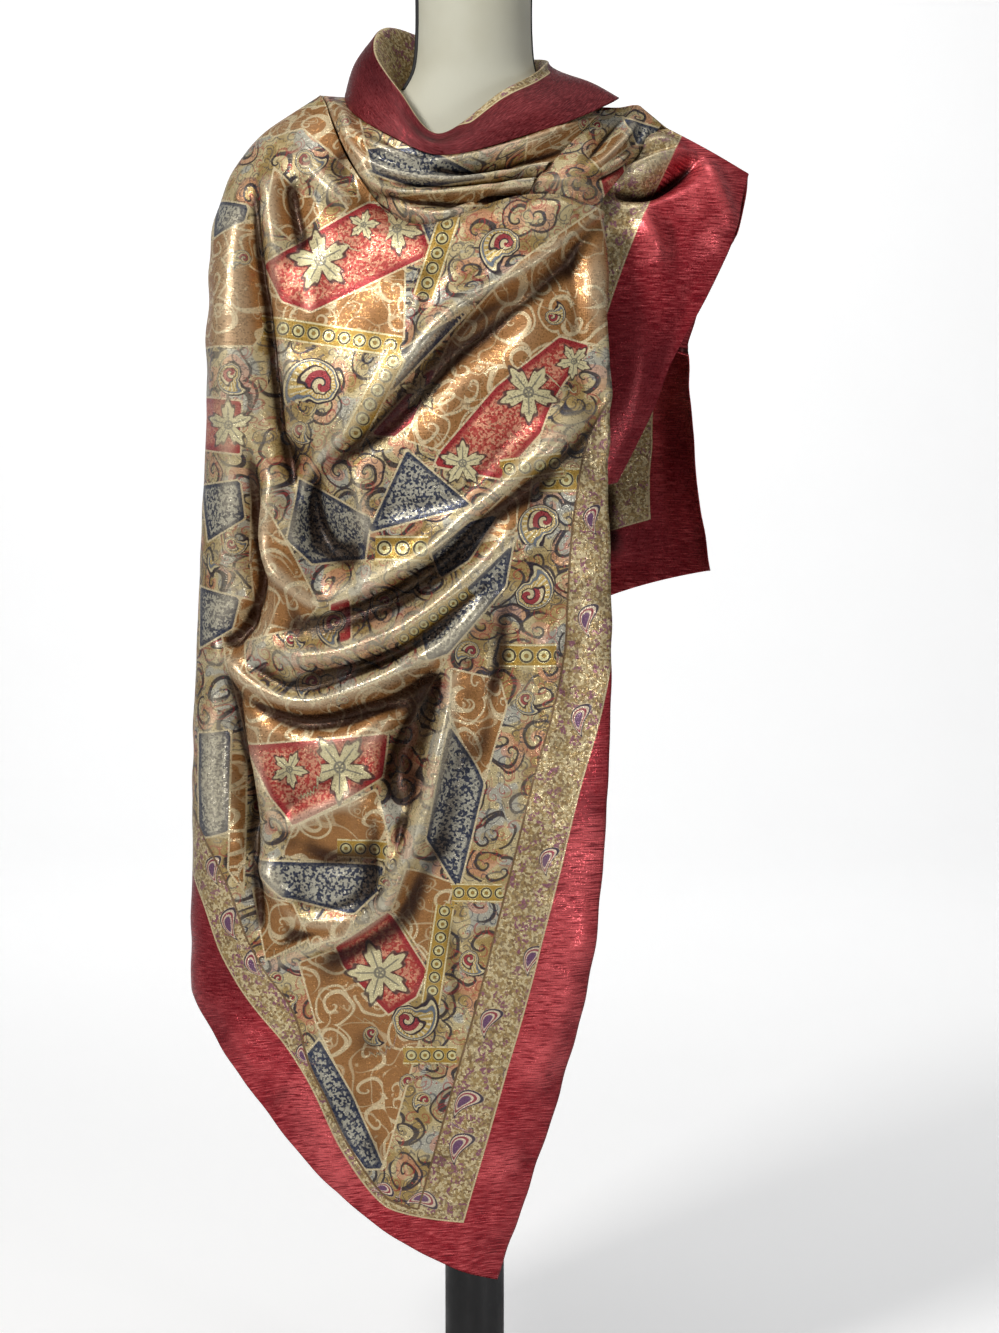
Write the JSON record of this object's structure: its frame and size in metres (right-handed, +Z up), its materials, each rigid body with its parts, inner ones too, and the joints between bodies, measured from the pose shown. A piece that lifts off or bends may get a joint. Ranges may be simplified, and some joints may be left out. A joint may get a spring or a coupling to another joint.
{
  "type": "shawl on limbless dress form",
  "caption": "Large patterned shawl with a plain border, draped over one shoulder and across the front of a limbless dress form on a round pole and base.",
  "frame": {"origin": "centre of the base's underside, on the floor under the pole", "axes": "+Z up along the pole, -Y out of the front of the shawl, +X to the right of someone who looks at that front"},
  "size_m": [0.6115, 0.3841, 1.6143],
  "materials": {
    "patterned_cloth": "satin weave with metallic thread, patchwork of caramel, coral, beige and navy",
    "burgundy_border": "plain burgundy satin with metallic thread",
    "form_cover": "smooth off-white cover, matt",
    "black_paint": "black, half gloss"
  },
  "bodies": {
    "root": {"front_panel": "patterned_cloth", "back_panel": "patterned_cloth", "cowl": "patterned_cloth", "shoulder_gather": "patterned_cloth", "shoulder_band": "burgundy_border", "collar": "burgundy_border", "form_torso": "form_cover", "neck_cap": "black_paint", "form_pole": "black_paint", "form_base": "black_paint"}
  },
  "joints": []
}
